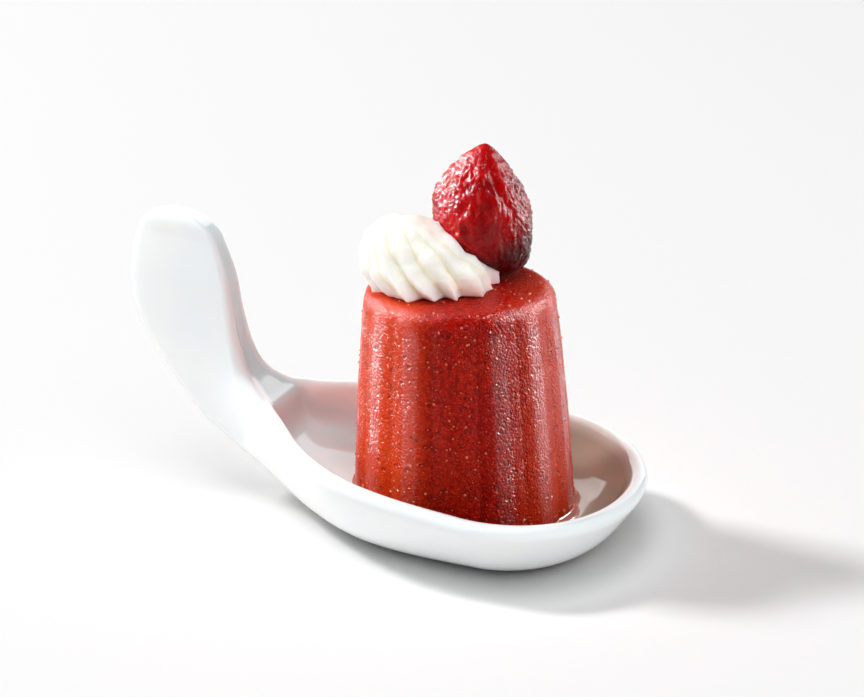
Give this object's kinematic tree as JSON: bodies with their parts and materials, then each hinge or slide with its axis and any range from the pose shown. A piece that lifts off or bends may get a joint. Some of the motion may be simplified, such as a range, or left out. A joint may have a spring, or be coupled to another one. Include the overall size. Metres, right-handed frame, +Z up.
{
  "type": "jelly dessert",
  "caption": "Cherry water yokan: a tall fluted red agar jelly with a swirl of whipped cream and a preserved cherry, served on a white porcelain spoon with an upright handle",
  "frame": {"origin": "on the table under the middle of the spoon", "axes": "+X runs along the spoon from its handle to its round tip, +Z is up, and +Y is across the spoon"},
  "size_m": [0.1156, 0.0644, 0.083],
  "materials": {
    "porcelain": "white glazed porcelain",
    "agar_jelly": "translucent red agar jelly with fine bubbles, edible",
    "whipped_cream": "soft whipped cream, edible",
    "preserved_cherry": "wet, wrinkled dark red cherry in syrup, edible"
  },
  "bodies": {
    "root": {"spoon": "porcelain", "yokan": "agar_jelly", "cream": "whipped_cream", "cherry": "preserved_cherry"}
  },
  "joints": []
}
